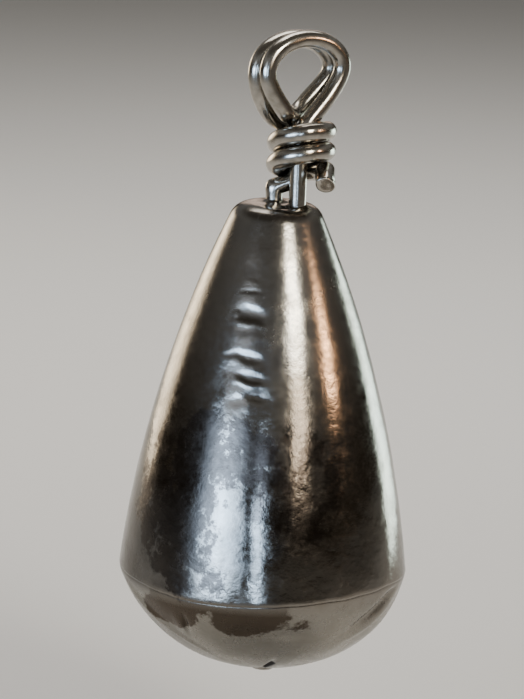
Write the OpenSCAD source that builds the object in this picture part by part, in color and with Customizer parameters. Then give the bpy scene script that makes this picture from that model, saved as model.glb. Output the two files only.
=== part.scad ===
// Cast plumb bob hung from a bound double-ring wire eye.
// The origin is where the line bears, on the underside of the eye's crown. +Z is up, along the casting's axis.
// The eye lies in the XZ plane, so the line passes through it along Y.

/* [Casting] */
// Largest diameter, at the rounded edge between the flank and the base
casting_d = 40; // [36:0.5:44]
// Height from the widest edge to the flat top
flank_h = 51.4; // [48:0.5:56]
// Radius of the bulging flank, in the lengthwise section
flank_r = 162; // [130:1:220]
// Depth of the domed base below the widest edge
dome_depth = 13.8; // [12:0.5:16]
// Radius of the shoulder where the flank turns in to the top
shoulder_r = 3; // [2:0.25:3.5]
// Radius of the base's outer band, before the flatter middle
dome_edge_r = 18; // [16:0.5:19]
// Angle at which the base turns under the widest edge
edge_angle = 15; // [10:1:20]
// Radius that takes the sharpness off the widest edge
edge_r = 1.2; // [0.6:0.1:2]
// Diameter of the stub left by the pouring gate
gate_d = 3.2; // [2:0.1:4]
// Height of the gate stub below the base
gate_h = 0.6; // [0.3:0.1:1]

/* [Wire] */
// Diameter of the eye's wire
wire_d = 2.4; // [2.2:0.05:2.45]
// Diameter of the binding's wire
bind_wire_d = 2.7; // [2.5:0.05:2.75]
// Gap left round the legs where the metal shrank as it set
cast_gap = 0.02; // [0.01:0.01:0.05]

/* [Eye] */
// Half width of each ring, on the wire's centre line
ring_half_w = 5.95; // [5.7:0.05:6.3]
// Height of each ring above its widest place
ring_rise = 4.35; // [4.2:0.05:4.7]
// Half the distance between the two rings
ring_offset = 1.3; // [1.3:0.05:1.6]
// Turn of the rings from the plane of the two legs
eye_yaw = 32; // [28:1:36]
// Height of the rings' widest place above the casting's widest edge
ring_z = 69; // [68.5:0.1:70]

/* [Binding] */
// Rise from one turn of the binding to the next
bind_pitch = 2.85; // [2.7:0.05:3]
// Half width of the binding, on the wire's centre line
bind_half_w = 3.4; // [3.35:0.05:3.5]
// Half depth of the binding, on the wire's centre line
bind_half_d = 4.2; // [4.15:0.05:4.3]
// Turns from the hidden end to the cut tail
bind_turns = 2.2; // [2.1:0.05:2.25]

/* [Hidden] */
$fn = 96;
tube_sides = 16;
overlap = 0.01;
wire_r = wire_d / 2;

// Middle of the eye and of the binding, right of the casting's axis
eye_x = 2.35;
bind_x = 3;

// Widest places of the two rings, and the height where the line bears
front_crown_z = ring_z + 0.75;
rear_crown_z = ring_z + 0.45;
hang_z = rear_crown_z + ring_rise - wire_r;

// Middle of the gate stub, just in front of the lowest point
gate_x = 0.6;
gate_y = -2.4;

// Legs: where they stand in the casting, and their feet inside it
front_leg = [2.75, -1.36];
rear_leg = [-0.4, 1.1];
foot_r = 3;
foot_z = 28;
foot_len = 4;

// Binding: its height at the right, and how much its right and its front stand higher than its left and its back
bind_z = ring_z - 7.75;
right_lift = 0.2;
lift_growth = 0.1;
front_lift = 1.1;
bind_steps = 100;

// Where the tail leaves the last turn, and its way down to the cut end
tail_turn = 1.98;
tail_x = bind_x + bind_half_w;
tail_z = ring_z - 14;
tail_cut = 0.3;

// ---- small helpers ----
function unit(v) = v / norm(v);
function polar(r, a) = [r * cos(a), r * sin(a)];
function arc(centre, r, from, to, steps) =
    [for (i = [0:steps]) centre + polar(r, from + (to - from) * i / steps)];

// Rounds a control path by cutting its corners, passes times
function rounded(p, passes) =
    passes == 0 ? p :
    rounded(concat(
        [p[0]],
        [for (i = [0:len(p) - 2]) each [0.75 * p[i] + 0.25 * p[i + 1], 0.25 * p[i] + 0.75 * p[i + 1]]],
        [p[len(p) - 1]]), passes - 1);

// Direction of a path at each of its points
function headings(p) =
    let (last = len(p) - 1)
    [for (i = [0:last]) unit(p[min(i + 1, last)] - p[max(i - 1, 0)])];

// Side vectors carried along the path without twist
function carried(h, done) =
    len(done) == len(h) ? done :
    let (t = h[len(done)], n = done[len(done) - 1])
    carried(h, concat(done, [unit(n - (n * t) * t)]));

// Closed round tube along a path. bevel slants its last face, as nippers leave it
module tube(p, r, first_side, bevel = 0) {
    h = headings(p);
    n = carried(h, [unit(first_side - (first_side * h[0]) * h[0])]);
    last = len(p) - 1;
    rings = [for (i = [0:last]) each
        [for (k = [0:tube_sides - 1])
            let (a = 360 * k / tube_sides, slant = i == last ? bevel * r * sin(a) : 0)
            p[i] + r * (cos(a) * n[i] + sin(a) * cross(h[i], n[i])) + slant * h[i]]];
    walls = [for (i = [0:last - 1], k = [0:tube_sides - 1])
        let (a = i * tube_sides + k, b = i * tube_sides + (k + 1) % tube_sides)
        each [[a, a + tube_sides, b], [b, a + tube_sides, b + tube_sides]]];
    start_face = [for (k = [0:tube_sides - 1]) k];
    end_face = [for (k = [tube_sides - 1:-1:0]) last * tube_sides + k];
    polyhedron(rings, concat(walls, [start_face, end_face]));
}

// Moves a piece drawn about the casting's axis to the eye, and turns the bob so that the line passes along Y
module to_eye() {
    rotate(-eye_yaw) translate([-eye_x, 0, -hang_z]) children();
}

// ---- casting ----
function casting_outline() =
    let (
        rim = casting_d / 2,
        // Flank: a circle through the widest edge that leans in to the shoulder
        top_r = rim * 0.28,
        half_chord = norm([rim - top_r, flank_h]) / 2,
        lean = atan2(rim - top_r, flank_h),
        sweep = asin(half_chord / flank_r),
        flank_c = [rim, 0] - polar(flank_r, lean - sweep),
        // Shoulder: tangent to the flat top and to the flank
        shoulder_z = flank_h - shoulder_r,
        shoulder_x = flank_c[0] + sqrt(pow(flank_r - shoulder_r, 2) - pow(shoulder_z - flank_c[1], 2)),
        shoulder_c = [shoulder_x, shoulder_z],
        meet = atan2(shoulder_c[1] - flank_c[1], shoulder_c[0] - flank_c[0]),
        // Edge round: tangent to the flank and to the base's outer band
        band_c = [rim, 0] - polar(dome_edge_r, -edge_angle),
        gap = flank_c - band_c,
        d = norm(gap),
        fa = flank_r - edge_r,
        ba = dome_edge_r - edge_r,
        along = (ba * ba - fa * fa + d * d) / (2 * d),
        up = sqrt(ba * ba - along * along),
        g = gap / d,
        edge_c = band_c + along * g + up * [-g[1], g[0]],
        edge_top = atan2(edge_c[1] - flank_c[1], edge_c[0] - flank_c[0]),
        edge_low = atan2(edge_c[1] - band_c[1], edge_c[0] - band_c[0]),
        // Base: flatter middle centred on the axis, tangent to the outer band
        low = dome_edge_r - dome_depth,
        middle_z = (band_c * band_c - low * low) / (2 * (band_c[1] - low)),
        middle_r = middle_z + dome_depth,
        join = atan2(band_c[1] - middle_z, band_c[0])
    )
    concat(
        [[0, flank_h]],
        arc(shoulder_c, shoulder_r, 90, meet, 8),
        arc(flank_c, flank_r, meet, edge_top, 22),
        arc(edge_c, edge_r, edge_top, edge_low, 4),
        arc(band_c, dome_edge_r, edge_low, join, 10),
        arc([0, middle_z], middle_r, join, -90, 12));

// Hole left in the casting by one leg, with its bent foot turned towards turn degrees
module leg_hole(place, turn) {
    r = wire_r + cast_gap;
    translate([place[0], place[1], 0]) rotate(turn) {
        translate([0, 0, foot_z + foot_r - overlap]) cylinder(h = flank_h, r = r);
        translate([foot_r, 0, foot_z + foot_r]) rotate([-90, 0, 0])
            rotate_extrude(angle = 90, start = 90) translate([foot_r, 0]) circle(r = r);
        translate([foot_r - overlap, 0, foot_z]) rotate([0, 90, 0])
            cylinder(h = foot_len + 2 * overlap + cast_gap, r = r);
    }
}

module weight_casting() {
    color("dimgray") to_eye() difference() {
        union() {
            rotate_extrude() polygon(casting_outline());
            translate([gate_x, gate_y, -dome_depth - gate_h]) cylinder(h = gate_h + 1, d = gate_d);
        }
        leg_hole(front_leg, 0);
        leg_hole(rear_leg, 180);
    }
}

// ---- eye ----
// Point of a ring: a across it, b towards its front, z up
function ring(a, b, z) =
    [eye_x + a * cos(eye_yaw) + b * sin(eye_yaw), a * sin(eye_yaw) - b * cos(eye_yaw), z];

// Control points over the crown of a ring, from right to left
function crown(a, b, z) =
    let (swell = 1.035)  // makes up for the corners that rounding cuts
    [for (t = [0:30:180]) ring(a + ring_half_w * swell * cos(t), b, z + ring_rise * swell * sin(t))];

// Foot and elbow of a leg, from the foot's tip up to the straight leg
function foot(place, turn) =
    let (way = [cos(turn), sin(turn), 0], base = [place[0], place[1], foot_z])
    concat(
        [base + (foot_r + foot_len) * way],
        [for (a = [0:9:90]) base + foot_r * (1 - sin(a)) * way + [0, 0, foot_r * (1 - cos(a))]]);

function reversed(p) = [for (i = [len(p) - 1:-1:0]) p[i]];
function on_leg(place, z) = [place[0], place[1], z];

// Through the neck, twice round the eye and back, as a control path
function eye_bends() =
    let (b = ring_offset, z = ring_z, neck = ring_z - 8.9)
    concat(
        // Front leg and the way up to the front ring
        [on_leg(front_leg, 49), on_leg(front_leg, 58), on_leg(front_leg, neck - 2)],
        [ring(-0.1, b + 0.4, z - 7.1), ring(2.1, b + 0.3, z - 4.8), ring(4.7, b, z - 2.1)],
        crown(0.1, b, front_crown_z),
        // Down its far side, and back and up into the rear ring
        [ring(-5.4, b, z - 1.4), ring(-3.5, b - 0.05, z - 4), ring(-2.15, b - 0.35, z - 5.5)],
        [ring(0.15, 0.5 - b, z - 5.5), ring(2.2, 0.05 - b, z - 3.7), ring(4.8, -b, z - 1.4)],
        crown(-0.1, -b, rear_crown_z),
        // Down through the neck behind the front leg
        [ring(-5.5, -b - 0.1, z - 2.4), ring(-3.8, -b - 0.8, z - 4.9), ring(-2, -b - 1.4, z - 6.5)],
        [[1.5, 2, neck + 1.4], [2.8, 1.4, neck - 0.3], [2.7, 1.3, neck - 2.4], [2.65, 1.2, neck - 5.6]],
        // Across to the rear leg, under the binding
        [on_leg(rear_leg, neck - 7.1), on_leg(rear_leg, neck - 9.3), on_leg(rear_leg, neck - 11)]);

module eye_wire() {
    path = concat(
        foot(front_leg, 0),
        rounded(eye_bends(), 2),
        reversed(foot(rear_leg, 180)));
    color("silver") to_eye() tube(path, wire_r, [0, 1, 0]);
}

// ---- binding ----
// Centre of the binding wire, turns after its right side, going down clockwise as seen from above
function wrap(turns) =
    let (a = -360 * turns, lift = right_lift + lift_growth * turns)
    [bind_x + bind_half_w * cos(a),
     bind_half_d * sin(a),
     bind_z - bind_pitch * turns + lift * cos(a) - front_lift * sin(a)];

module binding_wire() {
    turn_points = [for (i = [0:bind_steps]) wrap(tail_turn - bind_turns * (1 - i / bind_steps))];
    tail = rounded([
        wrap(tail_turn),
        wrap(tail_turn + 0.03),
        [tail_x - 0.1, -1.4, tail_z + 0.7],
        [tail_x, -3, tail_z + 0.25],
        [tail_x + 0.05, -4, tail_z - 0.35]], 3);
    path = concat(turn_points, [for (i = [1:len(tail) - 1]) tail[i]]);
    color("gray") to_eye() tube(path, bind_wire_d / 2, [0, 0, 1], tail_cut);
}

weight_casting();
eye_wire();
binding_wire();
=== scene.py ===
"""Looks of a cast plumb bob and its bound wire eye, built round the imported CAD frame.

Shapes are worked out in millimetres in the casting's frame: its axis is X = Y = 0, its widest edge is Z = 0,
and its front is -Y. to_row() takes them to the row frame, in metres. Angles round the casting are in degrees
from its front, positive towards +X.
"""

import math

import bpy
import numpy as np
from mathutils import Matrix, Vector, noise


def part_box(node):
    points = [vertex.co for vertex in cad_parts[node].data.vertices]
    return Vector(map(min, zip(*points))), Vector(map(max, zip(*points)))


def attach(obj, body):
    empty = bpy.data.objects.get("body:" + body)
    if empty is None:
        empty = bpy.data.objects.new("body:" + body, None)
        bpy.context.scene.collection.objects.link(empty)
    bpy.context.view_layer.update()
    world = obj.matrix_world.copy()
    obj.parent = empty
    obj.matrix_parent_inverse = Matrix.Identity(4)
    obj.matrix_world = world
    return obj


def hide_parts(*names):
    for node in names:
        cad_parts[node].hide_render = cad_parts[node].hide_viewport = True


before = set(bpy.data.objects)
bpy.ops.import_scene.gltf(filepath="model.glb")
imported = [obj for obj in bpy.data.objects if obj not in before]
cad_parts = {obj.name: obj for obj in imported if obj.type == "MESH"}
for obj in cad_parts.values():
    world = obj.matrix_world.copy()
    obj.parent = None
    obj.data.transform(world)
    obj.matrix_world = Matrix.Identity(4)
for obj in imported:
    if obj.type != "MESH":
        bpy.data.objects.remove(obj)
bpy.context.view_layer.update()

MM = 0.001

# ---- places and sizes, as in the CAD model ----
FLANK_H = 51.4
FLANK_R = 162.0
DOME_DEPTH = 13.8
SHOULDER_R = 3.0
DOME_EDGE_R = 18.0
EDGE_ANGLE = 15.0
EDGE_R = 1.2
TOP_SHARE = 0.28
GATE_R = 1.6
GATE_H = 0.6
GATE_X = 0.6
GATE_Y = -2.4
BASE_SHIFT = 0.45
WIRE_R = 1.2
RING_HALF_W = 5.95
RING_RISE = 4.35
RING_OFFSET = 1.3
RING_Z = 69.0
FRONT_CROWN_Z = RING_Z + 0.75
REAR_CROWN_Z = RING_Z + 0.45
EYE_YAW = 32.0
EYE_X = 2.35
FRONT_LEG = (2.75, -1.36)
REAR_LEG = (-0.4, 1.1)
KINK_Z = RING_Z - 16
FOOT_R = 3.0
FOOT_Z = 28.0
FOOT_LEN = 4.0
BIND_WIRE_R = 1.35
BIND_X = 3.0
BIND_Z = RING_Z - 7.75
BIND_PITCH = 2.85
BIND_HALF_W = 3.4
BIND_HALF_D = 4.2
BIND_TURNS = 2.2
RIGHT_LIFT = 0.2
LIFT_GROWTH = 0.1
FRONT_LIFT = 1.1
TAIL_TURN = 1.98
TAIL_X = BIND_X + BIND_HALF_W
TAIL_Z = RING_Z - 14
TAIL_CUT = 0.3

casting_low, casting_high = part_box("weight_casting")
RIM = round((casting_high.x - casting_low.x) / MM / 2, 1)
AXIS_X = (casting_low.x + casting_high.x) / 2
AXIS_Y = (casting_low.y + casting_high.y) / 2
WIDEST_Z = casting_high.z - FLANK_H * MM


def to_row(points):
    """Points of the casting's frame, in millimetres, in the row frame, in metres."""
    x, y, z = np.asarray(points, float).reshape(-1, 3).T * MM
    c, s = math.cos(math.radians(EYE_YAW)), math.sin(math.radians(EYE_YAW))
    return np.stack([AXIS_X + x * c + y * s, AXIS_Y - x * s + y * c, WIDEST_Z + z], axis=1)


def direction(azimuth, elevation):
    """Unit vector in the casting's frame. azimuth is from the front towards +X, and elevation from level."""
    a, e = math.radians(azimuth), math.radians(elevation)
    return np.array([math.sin(a) * math.cos(e), -math.cos(a) * math.cos(e), math.sin(e)])


# ---- camera ----
AIM = np.array([-1.25, 0.0, 30.7])
CAMERA_DISTANCE = 550.0
CAMERA_ELEVATION = 12.0
CAMERA_ROLL = 2.3
CAMERA_LENS = 205.7


def make_camera():
    data = bpy.data.cameras.new("camera")
    data.lens = CAMERA_LENS
    data.sensor_width = 36.0
    data.clip_start = 0.01
    data.clip_end = 20.0
    camera = bpy.data.objects.new("camera", data)
    bpy.context.scene.collection.objects.link(camera)
    place = Vector(to_row(AIM + CAMERA_DISTANCE * direction(0, CAMERA_ELEVATION))[0])
    look = (Vector(to_row(AIM)[0]) - place).to_track_quat("-Z", "Y")
    roll = Matrix.Rotation(math.radians(CAMERA_ROLL), 4, "Z")
    camera.matrix_world = Matrix.Translation(place) @ look.to_matrix().to_4x4() @ roll
    bpy.context.scene.camera = camera


make_camera()


# ---- mesh helpers ----
def new_piece(name, verts, faces, material, smooth=True):
    """A mesh piece from points in the casting's frame."""
    mesh = bpy.data.meshes.new(name)
    mesh.from_pydata(to_row(verts).tolist(), [], faces)
    mesh.update()
    mesh.polygons.foreach_set("use_smooth", [smooth] * len(mesh.polygons))
    mesh.materials.append(material)
    piece = bpy.data.objects.new(name, mesh)
    bpy.context.scene.collection.objects.link(piece)
    return piece


def bell(x, width):
    """1 at x = 0, falling smoothly to nothing past about twice width."""
    return np.exp(-(x / width) ** 2)


def step(x, start, end):
    """0 before start and 1 after end, with a smooth rise between them."""
    t = np.clip((x - start) / (end - start), 0, 1)
    return t * t * (3 - 2 * t)


def waves(points, size, octaves=3, seed=0.0):
    """Smooth noise from about -1 to 1 at each point, with bumps of the given size in millimetres."""
    shift = Vector((seed, 1.7 * seed, -2.3 * seed))
    return np.array([noise.fractal(Vector(p) / size + shift, 1.0, 2.0, octaves) for p in points])


# ---- casting ----
# Spacing of the mesh's rows along the outline
SHOULDER_STEP = 0.3
HIGH_FLANK_STEP = 0.35
RIPPLE_STEP = 0.16
LOW_FLANK_STEP = 0.4
EDGE_STEP = 0.1
BASE_STEP = 0.28
TOP_ROWS = 22
# The outline's last point is just off the axis, at this angle of the base's arc
LAST_ANGLE = -89.9
# The band of ripples left where the metal ran in, between these heights and angles
RIPPLE_LOW = 24.0
RIPPLE_HIGH = 47.0
FINE_FROM = -42.0
FINE_TO = 12.0
FINE_TURN = 0.7
COARSE_COUNT = 195
# Marks at the sides of the base are placed as on a cylinder of this radius
BASE_MARK_R = 18.0
# The relief is set this far in, so that its highest places stay inside the CAD's surface
INSET = 0.06
# The line left by the mould's seam: its depth, half width and height
SEAM_DEPTH = 0.10
SEAM_HALF_W = 0.15
SEAM_Z = -0.08
# The slit torn in the base in front of the gate: its middle, half length, half width, depth and turn
SLIT_AT = (1.1, -9.3, -12.1)
SLIT_HALF_LEN = 3.4
SLIT_HALF_W = 0.55
SLIT_DEPTH = 0.6
SLIT_TURN = 15.0


def arc(centre, radius, start, end, spacing):
    """Points of an arc of the outline, about spacing apart, without its last point."""
    count = max(2, round(abs(math.radians(end - start)) * radius / spacing))
    angles = np.radians(start + (end - start) * np.arange(count) / count)
    return [(centre[0] + radius * math.cos(a), centre[1] + radius * math.sin(a)) for a in angles]


def casting_outline():
    """Half of the casting's lengthwise section as (radius, height) points, from the top to the base."""
    top_r = RIM * TOP_SHARE
    half_chord = math.hypot(RIM - top_r, FLANK_H) / 2
    lean = math.degrees(math.atan2(RIM - top_r, FLANK_H))
    sweep = math.degrees(math.asin(half_chord / FLANK_R))
    flank_a = math.radians(lean - sweep)
    flank = (RIM - FLANK_R * math.cos(flank_a), -FLANK_R * math.sin(flank_a))

    shoulder_z = FLANK_H - SHOULDER_R
    shoulder_x = flank[0] + math.sqrt((FLANK_R - SHOULDER_R) ** 2 - (shoulder_z - flank[1]) ** 2)
    meet = math.degrees(math.atan2(shoulder_z - flank[1], shoulder_x - flank[0]))

    band_a = math.radians(EDGE_ANGLE)
    band = (RIM - DOME_EDGE_R * math.cos(band_a), DOME_EDGE_R * math.sin(band_a))
    gap = np.subtract(flank, band)
    apart = np.linalg.norm(gap)
    flank_off, band_off = FLANK_R - EDGE_R, DOME_EDGE_R - EDGE_R
    along = (band_off ** 2 - flank_off ** 2 + apart ** 2) / (2 * apart)
    across = math.sqrt(band_off ** 2 - along ** 2)
    edge = np.add(band, along * gap / apart) + across * np.array([-gap[1], gap[0]]) / apart
    edge_top = math.degrees(math.atan2(edge[1] - flank[1], edge[0] - flank[0]))
    edge_low = math.degrees(math.atan2(edge[1] - band[1], edge[0] - band[0]))

    low = DOME_EDGE_R - DOME_DEPTH
    middle_z = (band[0] ** 2 + band[1] ** 2 - low ** 2) / (2 * (band[1] - low))
    join = math.degrees(math.atan2(band[1] - middle_z, band[0]))

    split = math.degrees(math.asin((RIPPLE_LOW - flank[1]) / FLANK_R))
    lift = math.degrees(math.asin((RIPPLE_HIGH - flank[1]) / FLANK_R))
    top = [(shoulder_x * i / TOP_ROWS, FLANK_H) for i in range(1, TOP_ROWS)]
    return np.array(
        top
        + arc((shoulder_x, shoulder_z), SHOULDER_R, 90, meet, SHOULDER_STEP)
        + arc(flank, FLANK_R, meet, lift, HIGH_FLANK_STEP)
        + arc(flank, FLANK_R, lift, split, RIPPLE_STEP)
        + arc(flank, FLANK_R, split, edge_top, LOW_FLANK_STEP)
        + arc(edge, EDGE_R, edge_top, edge_low, EDGE_STEP)
        + arc(band, DOME_EDGE_R, edge_low, join, BASE_STEP)
        + arc((0, middle_z), middle_z + DOME_DEPTH, join, LAST_ANGLE, BASE_STEP)
    )


def angles_round():
    """Angles round the casting, closer together where the ripples are."""
    fine = np.arange(FINE_FROM, FINE_TO, FINE_TURN)
    coarse = np.linspace(FINE_TO, 360 + FINE_FROM, COARSE_COUNT, endpoint=False)
    return np.concatenate([fine, coarse])


def from_front(phi):
    """An angle round the casting, brought between -180 and 180 degrees."""
    return (phi + 180) % 360 - 180


def lens(u, v, place, size, tilt=0.0):
    """Squared distance from the middle of an oval mark, 1 on its rim, in any flat coordinates u and v."""
    c, s = math.cos(math.radians(tilt)), math.sin(math.radians(tilt))
    du, dv = u - place[0], v - place[1]
    return ((du * c + dv * s) / size[0]) ** 2 + ((dv * c - du * s) / size[1]) ** 2


def ripples(phi, z, radius):
    """Height of the ripples and dents in the front of the flank, in millimetres."""
    u = np.radians(from_front(phi)) * radius
    bend = 0.22 * waves(np.stack([u, 0 * u, z], axis=1), 2.4, 2, 4.0)

    def swell(place, size, tilt, height):
        return height * np.exp(-lens(u, z + bend, place, size, tilt) ** 1.4)

    h = np.zeros_like(z)
    # Runs near the top, where the metal chilled first
    h += swell((-3.6, 43.7), (1.3, 0.9), 4, -0.035)
    h += swell((-3.2, 41.9), (1.2, 0.4), -3, 0.02)
    h += swell((-3.1, 40.7), (1.5, 0.3), 2, -0.05)
    # A clear bar, with duller ones under it
    h += swell((-3.0, 37.8), (2.2, 1.1), -6, -0.21)
    h += swell((-5.1, 37.7), (0.6, 0.5), 0, 0.06)
    h += swell((-3.3, 36.5), (2.5, 0.4), -2, 0.05)
    h += swell((-3.9, 35.6), (0.9, 0.6), 0, -0.02)
    h += swell((-2.3, 34.7), (2.7, 0.7), 2, 0.035)
    # Three deeper dents, lowest last
    h += swell((-3.0, 32.2), (1.8, 0.75), -12, -0.16)
    h += swell((-5.6, 32.4), (1.1, 0.4), 6, -0.05)
    h += swell((-4.7, 30.6), (1.8, 0.9), 8, -0.05)
    h += swell((-2.6, 29.7), (1.8, 0.65), -9, -0.14)
    h += swell((-2.9, 28.8), (2.2, 0.35), -7, 0.05)
    h += swell((-1.7, 27.2), (1.5, 0.75), -14, -0.17)
    h += swell((-4.4, 26.6), (1.2, 0.8), 12, -0.06)
    return h


def dome_marks(phi, z, radius):
    """Height of the dents and grooves in the base, in millimetres."""
    around = np.radians(from_front(phi))
    near, wide = around * radius, around * BASE_MARK_R

    def mark(u, place, size, tilt, height, crispness=1.3):
        return height * np.exp(-lens(u, z, place, size, tilt) ** crispness)

    # Two shallow dents at the front
    h = mark(near, (3.6, -4.9), (2.8, 1.0), 2, -0.30)
    h += mark(near, (-2.2, -4.4), (1.9, 0.9), 10, -0.16)
    # A slanted groove at the right, with a raised bank below it
    h += mark(wide, (17.3, -3.1), (4.8, 0.6), 28, -0.50)
    h += mark(wide, (18.0, -4.5), (4.8, 0.7), 28, 0.34)
    # A short crease at the left, its raised edge, and a long low ridge further round that doubles the outline
    h += mark(wide, (-11.0, -4.5), (0.35, 1.6), -14, -0.28)
    h += mark(wide, (-12.2, -4.5), (0.9, 2.0), -14, 0.15)
    h += mark(wide, (-17.2, -4.9), (0.6, 6.6), 55, 0.38, 1.2)
    return h


def top_marks(points):
    """Height of the metal drawn up round the legs, and of the hollows it left by them, in millimetres."""
    x, y = points[:, 0], points[:, 1]
    h = -0.45 * np.exp(-lens(x, y, (1.3, -3.0), (2.6, 1.3), 8) ** 1.2)
    h -= 0.20 * np.exp(-lens(x, y, (1.1, -0.4), (0.9, 1.4), 20) ** 1.2)
    for leg, rise in ((FRONT_LEG, 0.22), (REAR_LEG, 0.32)):
        from_leg = np.hypot(x - leg[0], y - leg[1])
        h += rise * np.exp(-np.clip(from_leg - WIRE_R, 0, None) / 0.45)
    return h


def gate_stub(points):
    """Height of the broken-off gate under the base, and of the slit torn in front of it, in millimetres."""
    x, y = points[:, 0] + BASE_SHIFT, points[:, 1]
    ragged = 1 + 0.12 * waves(points, 1.5, 2, 6.0)
    mound = np.exp(-(0.95 * np.hypot(x - GATE_X, y - GATE_Y) / GATE_R * ragged) ** 8)
    slit = np.exp(-lens(x, y, SLIT_AT, (SLIT_HALF_W, SLIT_HALF_LEN), SLIT_TURN) ** 1.5)
    return GATE_H * mound - SLIT_DEPTH * slit


def make_casting(material):
    outline = casting_outline()
    after = np.roll(outline, -1, axis=0)
    before = np.roll(outline, 1, axis=0)
    along = after - before
    along[0], along[-1] = outline[1] - outline[0], outline[-1] - outline[-2]
    along /= np.linalg.norm(along, axis=1, keepdims=True)
    normal = np.stack([-along[:, 1], along[:, 0]], axis=1)

    angles = angles_round()
    rows, columns = len(outline), len(angles)
    phi = np.tile(angles, rows)
    radius = np.repeat(outline[:, 0], columns)
    z = np.repeat(outline[:, 1], columns)
    out_r = np.repeat(normal[:, 0], columns)
    out_z = np.repeat(normal[:, 1], columns)
    a = np.radians(phi)
    base = np.stack([radius * np.sin(a), -radius * np.cos(a), z], axis=1)

    # 1 on the base and 0 on the flank
    dome = step(-z, 0.0, 1.5)
    # 1 on the lower flank and 0 near the top, where the skin is smoother
    low = step(-z, -37, -27)
    raised = ripples(phi, z, radius) + dome * dome_marks(phi, z, radius)
    raised += 0.05 * waves(base, 14.0, 2, 3.0)
    raised += 0.035 * waves(base, 6.0, 2, 5.5) * low
    raised += 0.016 * waves(base, 3.2, 2, 8.0) * (0.25 + 0.75 * low)
    raised += step(-z, DOME_DEPTH - 5, DOME_DEPTH - 4) * gate_stub(base)
    raised += step(z, FLANK_H - 1.2, FLANK_H - 0.1) * top_marks(base)
    raised -= INSET

    # The seam of the mould, a fine line that wanders round the widest edge
    turned = from_front(phi)
    seam = 0.55 * bell(turned - 60, 20) - 0.75 * bell(turned + 20, 32)
    seam += 0.12 * waves(np.stack([base[:, 0], base[:, 1], 0 * z], axis=1), 4.0, 2, 1.0)
    raised -= SEAM_DEPTH * bell(z - SEAM_Z, SEAM_HALF_W)
    z_shift = seam * bell(z, 5)

    # The base's lowest point is a little off the axis
    x_shift = BASE_SHIFT * dome * step(-z, 0.0, 8.0)
    moves = (raised * out_r * np.sin(a) + x_shift, -raised * out_r * np.cos(a), raised * out_z + z_shift)
    verts = base + np.stack(moves, axis=1)
    top = len(verts)
    verts = np.concatenate([verts, [verts[:columns].mean(axis=0), verts[-columns:].mean(axis=0)]])
    faces = []
    for i in range(rows - 1):
        for k in range(columns):
            n = (k + 1) % columns
            faces.append((i * columns + k, (i + 1) * columns + k, (i + 1) * columns + n, i * columns + n))
    for k in range(columns):
        n = (k + 1) % columns
        faces.append((top, k, n))
        faces.append((top + 1, (rows - 1) * columns + n, (rows - 1) * columns + k))
    return new_piece("cast_weight", verts, faces, material)


# ---- wires ----
# How much wider a crown's control points stand, to make up for the corners that rounding cuts
CORNER_GAIN = 1.035
WIRE_STEP = 0.22
# Points of a path closer together than this are one point
SAME_POINT = 1e-6
WIRE_SIDES = 40


def ring(across, front, z):
    """Point of the eye: across it, towards its front, and height."""
    c, s = math.cos(math.radians(EYE_YAW)), math.sin(math.radians(EYE_YAW))
    return (EYE_X + across * c + front * s, across * s - front * c, z)


def crown(across, front, z):
    """Control points over the crown of a ring, from right to left."""
    half_w, rise = CORNER_GAIN * RING_HALF_W, CORNER_GAIN * RING_RISE
    turns = [math.radians(t) for t in range(0, 181, 30)]
    return [ring(across + half_w * math.cos(t), front, z + rise * math.sin(t)) for t in turns]


def rounded(path, passes):
    """A control path with its corners cut, passes times."""
    p = np.asarray(path, float)
    for _ in range(passes):
        cut = np.empty((2 * (len(p) - 1), 3))
        cut[0::2] = 0.75 * p[:-1] + 0.25 * p[1:]
        cut[1::2] = 0.25 * p[:-1] + 0.75 * p[1:]
        p = np.concatenate([p[:1], cut, p[-1:]])
    return p


def foot(place, side):
    """Foot and elbow of a leg, from the foot's tip up to the straight leg. side is 1 or -1, for +X or -X."""
    x, y = place
    turns = [math.radians(t) for t in range(0, 91, 6)]
    tip = (x + side * (FOOT_R + FOOT_LEN), y, FOOT_Z)
    bend = [(x + side * FOOT_R * (1 - math.sin(t)), y, FOOT_Z + FOOT_R * (1 - math.cos(t))) for t in turns]
    return [tip] + bend


def eye_path():
    """Centre line of the eye wire, from one foot to the other."""
    b, z, neck = RING_OFFSET, RING_Z, RING_Z - 8.9
    fx, fy = FRONT_LEG
    rx, ry = REAR_LEG
    # Front leg and the way up to the front ring
    bends = [(fx, fy, 49), (fx, fy, 58), (fx, fy, neck - 2)]
    bends += [ring(-0.1, b + 0.4, z - 7.1), ring(2.1, b + 0.3, z - 4.8), ring(4.7, b, z - 2.1)]
    bends += crown(0.1, b, FRONT_CROWN_Z)
    # Down its far side, and back and up into the rear ring
    bends += [ring(-5.4, b, z - 1.4), ring(-3.5, b - 0.05, z - 4), ring(-2.15, b - 0.35, z - 5.5)]
    bends += [ring(0.15, 0.5 - b, z - 5.5), ring(2.2, 0.05 - b, z - 3.7), ring(4.8, -b, z - 1.4)]
    bends += crown(-0.1, -b, REAR_CROWN_Z)
    # Down through the neck behind the front leg
    bends += [ring(-5.5, -b - 0.1, z - 2.4), ring(-3.8, -b - 0.8, z - 4.9), ring(-2, -b - 1.4, z - 6.5)]
    bends += [(1.5, 2, neck + 1.4), (2.8, 1.4, neck - 0.3), (2.7, 1.3, neck - 2.4), (2.65, 1.2, neck - 5.6)]
    # Across to the rear leg, under the binding
    bends += [(rx + 0.6, ry, neck - 6.6), (rx, ry, neck - 7), (rx, ry, neck - 8.3), (rx, ry, neck - 11)]
    return np.concatenate([foot(FRONT_LEG, 1), rounded(bends, 4), foot(REAR_LEG, -1)[::-1]])


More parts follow.
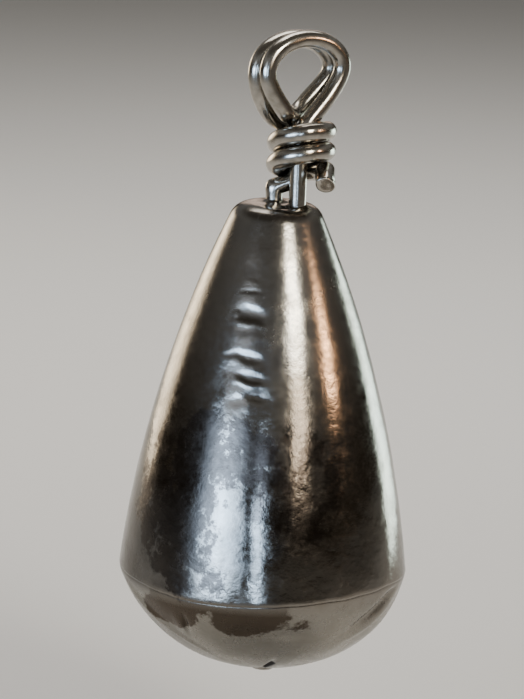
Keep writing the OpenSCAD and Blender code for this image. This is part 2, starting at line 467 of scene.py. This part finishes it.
def wrap(turns):
    """Centre of the binding wire, turns after its right side."""
    a = -2 * math.pi * turns
    lift = RIGHT_LIFT + LIFT_GROWTH * turns
    z = BIND_Z - BIND_PITCH * turns + lift * math.cos(a) - FRONT_LIFT * math.sin(a)
    return (BIND_X + BIND_HALF_W * math.cos(a), BIND_HALF_D * math.sin(a), z)


def binding_path():
    """Centre line of the binding, from its hidden end to its cut tail."""
    steps = 180
    turns = [wrap(TAIL_TURN - BIND_TURNS * (1 - i / steps)) for i in range(steps + 1)]
    tail = [wrap(TAIL_TURN), wrap(TAIL_TURN + 0.03), (TAIL_X - 0.1, -1.4, TAIL_Z + 0.7)]
    tail += [(TAIL_X, -3, TAIL_Z + 0.25), (TAIL_X + 0.05, -4, TAIL_Z - 0.35)]
    return np.concatenate([turns, rounded(tail, 5)[1:]])


def evenly(path, spacing):
    """The path with its points about spacing apart, and the length of path up to each of them."""
    lengths = np.linalg.norm(np.diff(path, axis=0), axis=1)
    path = path[np.concatenate([[True], lengths > SAME_POINT])]
    at = np.concatenate([[0], np.cumsum(np.linalg.norm(np.diff(path, axis=0), axis=1))])
    want = np.linspace(0, at[-1], max(2, round(at[-1] / spacing)) + 1)
    return np.stack([np.interp(want, at, path[:, i]) for i in range(3)], axis=1), want


def directions_along(centre, first_side):
    """The heading at each point of a wire, and two directions square to it that turn as little as can be."""
    heading = np.gradient(centre, axis=0)
    heading /= np.linalg.norm(heading, axis=1, keepdims=True)
    side = np.array(first_side, float)
    sides = []
    for h in heading:
        side = side - side.dot(h) * h
        side /= np.linalg.norm(side)
        sides.append(side)
    sides = np.array(sides)
    return heading, sides, np.cross(heading, sides)


def make_wire(name, path, radius, first_side, relief, material, bevel=0.0):
    """A round wire along a path.

    relief(along, left, around, points) is how far its surface stands proud, in mm. along and left are the
    lengths of wire behind and ahead of a point. bevel slants the last face, which has the rim and the burr
    that nippers leave.
    """
    centre, at = evenly(path, WIRE_STEP)
    for _ in range(3):
        centre[1:-1] = (centre[:-2] + 2 * centre[1:-1] + centre[2:]) / 4
    heading, sides, other = directions_along(centre, first_side)
    turn = 2 * math.pi * np.arange(WIRE_SIDES) / WIRE_SIDES
    rows = len(centre)
    out = np.cos(turn)[None, :, None] * sides[:, None, :] + np.sin(turn)[None, :, None] * other[:, None, :]
    flat_out = out.reshape(-1, 3)
    flat_centre = np.repeat(centre, WIRE_SIDES, axis=0)
    along = np.repeat(at, WIRE_SIDES)
    around = np.tile(np.degrees(turn), rows)
    proud = relief(along, at[-1] - along, around, flat_centre + radius * flat_out)
    verts = flat_centre + (radius + proud)[:, None] * flat_out
    slant = step(along, at[-1] - 1.2, at[-1]) * bevel * radius * np.sin(np.radians(around))
    verts += slant[:, None] * np.repeat(heading, WIRE_SIDES, axis=0)

    # Each end closes in through rings, given as their share of the radius and how far they stand out
    start_rings = ((0.90, 0.06), (0.78, 0.12), (0.4, 0.13))
    end_rings = ((0.95, 0.09), (0.88, 0.12), (0.78, 0.05), (0.5, 0.02), (0.25, 0.04))
    burr = 0.45 * bevel * bell(np.degrees(turn) - 140, 22)
    rings = []
    for share, stand in start_rings:
        rings.append(centre[0] + share * (verts[:WIRE_SIDES] - centre[0]) - stand * heading[0])
    last = (rows - 1) * WIRE_SIDES
    for share, stand in end_rings:
        torn = (stand + burr * step(share, 0.6, 0.9))[:, None] * heading[-1]
        rings.append(centre[-1] + share * (verts[last:] - centre[-1]) + torn)
    count = len(verts)
    hubs = [centre[0] - start_rings[-1][1] * heading[0], centre[-1] + end_rings[-1][1] * heading[-1]]
    verts = np.concatenate([verts] + rings + [hubs])

    def band(first, second):
        for k in range(WIRE_SIDES):
            n = (k + 1) % WIRE_SIDES
            faces.append((first + k, first + n, second + n, second + k))

    faces = []
    for i in range(rows - 1):
        band(i * WIRE_SIDES, (i + 1) * WIRE_SIDES)
    first = 0
    for i in range(len(start_rings)):
        band(count + i * WIRE_SIDES, first)
        first = count + i * WIRE_SIDES
    for i in range(len(start_rings), len(rings)):
        band(last, count + i * WIRE_SIDES)
        last = count + i * WIRE_SIDES
    hub = count + len(rings) * WIRE_SIDES
    for k in range(WIRE_SIDES):
        n = (k + 1) % WIRE_SIDES
        faces.append((first + n, first + k, hub))
        faces.append((last + k, last + n, hub + 1))
    return new_piece(name, verts, faces, material)


def drawn_relief(along, left, around, points):
    """Faint drawing lines and handling dents in a wire's surface."""
    lines = np.array([noise.noise(Vector((r / 14, s / 30, 0.3))) for r, s in zip(around, along)])
    return 0.016 * waves(points, 2.2, 2, 5.0) + 0.006 * lines - 0.014


def bent_relief(along, left, around, points):
    """The eye wire's surface: squarer where pliers bent the rear leg over, and pinched in under the bend."""
    outer = np.linalg.norm(points - np.array([REAR_LEG[0] - 0.85, REAR_LEG[1], KINK_Z + 0.75]), axis=1)
    inner = np.linalg.norm(points - np.array([REAR_LEG[0] + 1.2, REAR_LEG[1], KINK_Z - 1.0]), axis=1)
    return drawn_relief(along, left, around, points) + 0.35 * bell(outer, 1.0) - 0.12 * bell(inner, 0.7)


def nipped_relief(along, left, around, points):
    """The binding's surface: pliers' marks, and a tail squeezed wider by the nippers."""
    a = np.radians(around)
    squeeze = step(-left, -2.6, -0.5)
    bulge = squeeze * (0.34 * np.sin(a) ** 2 - 0.04 * np.cos(a) ** 2)
    marks = -0.05 * bell((along % 4.3) - 2.1, 0.35) * bell(around - 90, 40)
    crushed = 0.12 * squeeze * waves(points, 1.4, 2, 2.0)
    return drawn_relief(along, left, around, points) + bulge + marks + crushed


# ---- materials ----
LIGHT_LEAD = (0.33, 0.305, 0.27)
DARK_LEAD = (0.28, 0.265, 0.245)
BROWN_LEAD = (0.19, 0.165, 0.135)
GREY_LEAD = (0.42, 0.42, 0.385)
PATINA = (0.088, 0.074, 0.066)
# Brown of a reflection, painted in a patch on the base
PAINTED_BROWN_REFLECTION = (0.09, 0.068, 0.05)
# Dark colour of a reflection, painted in a band on the lower flank
PAINTED_DARK_REFLECTION = (0.085, 0.07, 0.052)
# Near-black painted shade for the slit in the base
PAINTED_SLIT_SHADE = (0.02, 0.017, 0.014)
BRIGHT_STEEL = (0.58, 0.55, 0.50)
DULL_STEEL = (0.37, 0.345, 0.305)
HORIZON = (0.055, 0.045, 0.034)
WALLS = (0.24, 0.24, 0.235)
CEILING = (0.10, 0.093, 0.083)
FLOOR_COLOUR = (0.80, 0.79, 0.77)


def add(tree, kind, inputs=(), **settings):
    """A new node. inputs maps socket names or numbers to values, or to sockets that feed them."""
    made = tree.nodes.new(kind)
    for key, value in settings.items():
        setattr(made, key, value)
    for key, value in dict(inputs).items():
        if isinstance(value, bpy.types.NodeSocket):
            tree.links.new(value, made.inputs[key])
        else:
            made.inputs[key].default_value = value
    return made


def new_material(name):
    """An empty material, its tree and its Principled shader."""
    material = bpy.data.materials.new(name)
    material.use_nodes = True
    tree = material.node_tree
    shader = next(n for n in tree.nodes if n.type == "BSDF_PRINCIPLED")
    return material, tree, shader


def noise_of(tree, at, size, detail=4.0, roughness=0.55):
    """Noise from 0 to 1 with patches of about the given size in metres."""
    inputs = {"Vector": at, "Scale": 1 / size, "Detail": detail, "Roughness": roughness}
    return add(tree, "ShaderNodeTexNoise", inputs).outputs["Fac"]


def between(tree, fac, low, high, start=0.3, end=0.7):
    """Maps fac from start..end to low..high."""
    inputs = {"Value": fac, "From Min": start, "From Max": end, "To Min": low, "To Max": high}
    return add(tree, "ShaderNodeMapRange", inputs).outputs["Result"]


def scaled(tree, fac, share):
    """A mask from 0 to 1, brought to 0..share."""
    return between(tree, fac, 0, share, 0, 1)


def summed(tree, first, second):
    """The sum of two values."""
    return add(tree, "ShaderNodeMath", {0: first, 1: second}, operation="ADD").outputs[0]


def product(tree, first, second):
    """The product of two values."""
    return add(tree, "ShaderNodeMath", {0: first, 1: second}, operation="MULTIPLY").outputs[0]


def distance_from(tree, at, place):
    """Distance in metres from a place in the casting's frame."""
    middle = tuple(to_row([place])[0])
    return add(tree, "ShaderNodeVectorMath", {0: at, 1: middle}, operation="DISTANCE").outputs["Value"]


def mixed(tree, fac, first, second):
    """A colour between first and second."""
    made = add(tree, "ShaderNodeMix", {"Factor": fac}, data_type="RGBA")
    for socket, value in ((made.inputs[6], first), (made.inputs[7], second)):
        if isinstance(value, bpy.types.NodeSocket):
            tree.links.new(value, socket)
        else:
            socket.default_value = (*value, 1)
    return made.outputs[2]


def painted_shade_in_slit(tree, at):
    """Mask of the painted shade in the slit: 1 in the slit in front of the gate and 0 outside it."""
    turn = math.radians(SLIT_TURN)
    side = to_row([[math.cos(turn), math.sin(turn), 0]])[0] - to_row([[0, 0, 0]])[0]
    middle = tuple(to_row([SLIT_AT])[0])
    offset = add(tree, "ShaderNodeVectorMath", {0: at, 1: middle}, operation="SUBTRACT").outputs["Vector"]
    aside = add(tree, "ShaderNodeVectorMath", {0: offset, 1: tuple(side / MM)}, operation="DOT_PRODUCT")
    aside = add(tree, "ShaderNodeMath", {0: aside.outputs["Value"]}, operation="ABSOLUTE").outputs[0]
    half_w, half_len = SLIT_HALF_W * MM, SLIT_HALF_LEN * MM
    within = between(tree, aside, 1, 0, 0.9 * half_w, 1.2 * half_w)
    near = between(tree, distance_from(tree, at, SLIT_AT), 1, 0, 0.8 * half_len, half_len)
    return product(tree, within, near)


def cast_metal():
    material, tree, shader = new_material("cast_lead_alloy")
    at = add(tree, "ShaderNodeTexCoord").outputs["Object"]
    broad = noise_of(tree, at, 0.012, 3)
    mottle = noise_of(tree, at, 0.0025, 5, 0.6)
    fine = noise_of(tree, at, 0.0006, 3)
    ragged = noise_of(tree, at, 0.0038, 7, 0.72)
    cloud = noise_of(tree, at, 0.006, 5, 0.65)
    # 0 on the flank and 1 on the base, which cooled against the mould's rougher half
    height = add(tree, "ShaderNodeSeparateXYZ", {0: at}).outputs["Z"]
    base = between(tree, height, 1, 0, WIDEST_Z - 0.002, WIDEST_Z)

    colour = mixed(tree, between(tree, broad, 0, 1, 0.35, 0.65), LIGHT_LEAD, DARK_LEAD)
    colour = mixed(tree, between(tree, mottle, 0, 0.4, 0.45, 0.75), colour, BROWN_LEAD)
    # Dull patina in ragged patches at the front left of the lower flank, worn away nearer the front
    worn = between(tree, distance_from(tree, at, (-0.3, -19.6, 8.5)), -0.2, 0.08, 0.0045, 0.0100)
    outside = between(tree, distance_from(tree, at, (-8.0, -16.0, 12.0)), 0, -0.4, 0.011, 0.018)
    low = between(tree, height, -0.05, 0, WIDEST_Z + 0.001, WIDEST_Z + 0.007)
    reach = summed(tree, summed(tree, worn, outside), summed(tree, low, ragged))
    patina = between(tree, reach, 0, 1, 0.46, 0.52)
    colour = mixed(tree, scaled(tree, patina, 0.8), colour, PATINA)
    # Thinner patina, in smaller patches to the right of it
    thin = between(tree, distance_from(tree, at, (4.0, -17.8, 15.0)), 0.03, -0.3, 0.006, 0.013)
    thin = between(tree, summed(tree, thin, ragged), 0, 0.6, 0.47, 0.53)
    colour = mixed(tree, thin, colour, PATINA)
    # The base is greyer, with a painted brown reflection in a patch at its front and left
    colour = mixed(tree, scaled(tree, base, 0.25), colour, GREY_LEAD)
    front = between(tree, distance_from(tree, at, (-2.3, -19.0, -2.0)), 0.5, -0.05, 0.002, 0.012)
    left = between(tree, distance_from(tree, at, (-12.5, -14.8, -2.5)), 0.42, -0.05, 0.002, 0.009)
    near = add(tree, "ShaderNodeMath", {0: front, 1: left}, operation="MAXIMUM").outputs[0]
    near = summed(tree, near, between(tree, height, -0.3, 0, WIDEST_Z - 0.0065, WIDEST_Z - 0.004))
    # Painted reflection: a brown patch on the base, limited to its upper part
    brown_reflection_patch = product(tree, between(tree, summed(tree, near, cloud), 0, 0.85, 0.68, 0.74), base)
    colour = mixed(tree, brown_reflection_patch, colour, PAINTED_BROWN_REFLECTION)
    # A painted dark reflection in a band just above the widest edge, except at the front
    away_from_front = between(tree, distance_from(tree, at, (3.0, -19.7, 2.0)), 0, 0.7, 0.015, 0.023)
    band = between(tree, height, 1, 0, WIDEST_Z + 0.003, WIDEST_Z + 0.014)
    dark_reflection_band = product(tree, product(tree, band, between(tree, base, 1, 0, 0, 1)), away_from_front)
    colour = mixed(tree, dark_reflection_band, colour, PAINTED_DARK_REFLECTION)
    # Painted shade, near black and not metallic, in the slit in front of the gate
    slit_shade = painted_shade_in_slit(tree, at)
    colour = mixed(tree, slit_shade, colour, PAINTED_SLIT_SHADE)
    tree.links.new(colour, shader.inputs["Base Color"])

    rough = summed(tree, between(tree, mottle, 0.07, 0.20), between(tree, fine, -0.02, 0.05))
    rough = summed(tree, rough, scaled(tree, base, 0.14))
    rough = summed(tree, rough, scaled(tree, patina, 0.08))
    rough = summed(tree, rough, between(tree, height, 0, 0.06, WIDEST_Z + 0.02, WIDEST_Z + 0.035))
    rough = summed(tree, rough, scaled(tree, slit_shade, 0.5))
    tree.links.new(rough, shader.inputs["Roughness"])
    # The painted dark reflection band and the painted shade in the slit shine less than the metal does
    dull = summed(tree, scaled(tree, slit_shade, -1), scaled(tree, dark_reflection_band, -0.6))
    tree.links.new(summed(tree, dull, 1.0), shader.inputs["Metallic"])
    coarse = {"Height": mottle, "Strength": 0.5, "Distance": 0.0001}
    bump = add(tree, "ShaderNodeBump", coarse).outputs[0]
    grain = {"Height": fine, "Strength": 0.3, "Distance": 0.00003, "Normal": bump}
    tree.links.new(add(tree, "ShaderNodeBump", grain).outputs[0], shader.inputs["Normal"])
    return material


def bright_wire():
    material, tree, shader = new_material("drawn_steel_wire")
    at = add(tree, "ShaderNodeTexCoord").outputs["Object"]
    mottle = noise_of(tree, at, 0.0015, 4)
    fine = noise_of(tree, at, 0.0004, 3)
    colour = mixed(tree, between(tree, mottle, 0, 1), BRIGHT_STEEL, DULL_STEEL)
    tree.links.new(colour, shader.inputs["Base Color"])
    tree.links.new(between(tree, mottle, 0.14, 0.28), shader.inputs["Roughness"])
    bump = add(tree, "ShaderNodeBump", {"Height": fine, "Strength": 0.2, "Distance": 0.00003})
    tree.links.new(bump.outputs[0], shader.inputs["Normal"])
    shader.inputs["Metallic"].default_value = 1.0
    return material


# ---- pieces ----
weight = make_casting(cast_metal())
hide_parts("weight_casting")
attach(weight, "root")

wire = bright_wire()
eye = make_wire("eye_loop", eye_path(), WIRE_R, (0, 1, 0), bent_relief, wire)
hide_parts("eye_wire")
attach(eye, "root")

binding = make_wire("neck_binding", binding_path(), BIND_WIRE_R, (0, 0, 1), nipped_relief, wire, TAIL_CUT)
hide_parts("binding_wire")
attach(binding, "root")


# ---- floor and light ----
FLOOR_BELOW = 20.0
FLOOR_HALF = 3000.0
# The middle of the bob, which the lamps' places are measured from
MIDDLE = (0.0, 0.0, 25.0)


def make_floor():
    material, tree, shader = new_material("pale_floor")
    shader.inputs["Base Color"].default_value = (*FLOOR_COLOUR, 1)
    shader.inputs["Roughness"].default_value = 0.9
    half = FLOOR_HALF * MM
    z = casting_low.z - FLOOR_BELOW * MM
    corners = [(-half, -half, z), (half, -half, z), (half, half, z), (-half, half, z)]
    mesh = bpy.data.meshes.new("floor")
    mesh.from_pydata(corners, [], [(0, 1, 2, 3)])
    mesh.materials.append(material)
    floor = bpy.data.objects.new("floor", mesh)
    bpy.context.scene.collection.objects.link(floor)


def softbox(name, azimuth, elevation, distance, size, radiance, colour, spread=50, aim=MIDDLE):
    """A soft rectangular lamp, at the given direction and distance from the bob's middle, pointing at aim.

    size is its width and height in mm, radiance its brightness along its axis, and spread the full angle of
    its beam in degrees.
    """
    half = math.radians(spread / 2)
    beam_share = math.sin(half) ** 2 - (half - math.sin(2 * half) / 2) / math.tan(half)
    data = bpy.data.lights.new(name, "AREA")
    data.shape = "RECTANGLE"
    data.size, data.size_y = size[0] * MM, size[1] * MM
    data.energy = radiance * beam_share * math.pi * data.size * data.size_y
    data.spread = 2 * half
    data.color = colour
    lamp = bpy.data.objects.new(name, data)
    bpy.context.scene.collection.objects.link(lamp)
    place = Vector(to_row(MIDDLE + distance * direction(azimuth, elevation))[0])
    look = (place - Vector(to_row(aim)[0])).to_track_quat("Z", "Y")
    lamp.matrix_world = Matrix.Translation(place) @ look.to_matrix().to_4x4()
    lamp.visible_camera = False


def make_lights():
    softbox("overhead", 178, 58, 600, (520, 420), 4.5, (1.0, 0.97, 0.93), 110, (0, 330, -100))
    softbox("window", -39, 3.6, 450, (400, 162), 11.0, (0.55, 0.74, 1.0))
    softbox("window_top", -38, 21, 600, (260, 140), 0.8, (0.80, 0.88, 1.0))
    softbox("window_strip", -4, 2.5, 450, (60, 140), 8.0, (0.55, 0.74, 1.0))
    softbox("cream_strip", 32, 30, 600, (190, 150), 15.0, (1.0, 0.98, 0.88))
    softbox("cream_low", 31, 15.5, 600, (150, 155), 4.0, (1.0, 0.86, 0.70))
    softbox("warm_strip", 73, 19, 600, (115, 105), 13.5, (1.0, 0.62, 0.38))
    softbox("right_edge", 136, -1, 240, (118, 104), 5.0, (0.84, 1.0, 0.95))
    softbox("left_edge", -140, 5, 600, (500, 260), 4.7, (1.0, 0.87, 0.68))
    softbox("back_glow", 178, 14, 700, (300, 160), 1.2, (1.0, 0.80, 0.68))


def make_room():
    """The room round the bob: dark brown near the horizon, grey higher up and dim overhead."""
    world = bpy.data.worlds.new("room")
    bpy.context.scene.world = world
    world.use_nodes = True
    tree = world.node_tree
    background = tree.nodes["Background"]
    toward = add(tree, "ShaderNodeTexCoord").outputs["Generated"]
    up = add(tree, "ShaderNodeSeparateXYZ", {0: toward}).outputs["Z"]
    colour = mixed(tree, between(tree, up, 0, 1, 0.05, 0.45), HORIZON, WALLS)
    colour = mixed(tree, between(tree, up, 0, 1, 0.5, 0.75), colour, CEILING)
    tree.links.new(colour, background.inputs["Color"])


make_floor()
make_lights()
make_room()
bpy.context.scene.view_settings.look = "AgX - Medium High Contrast"
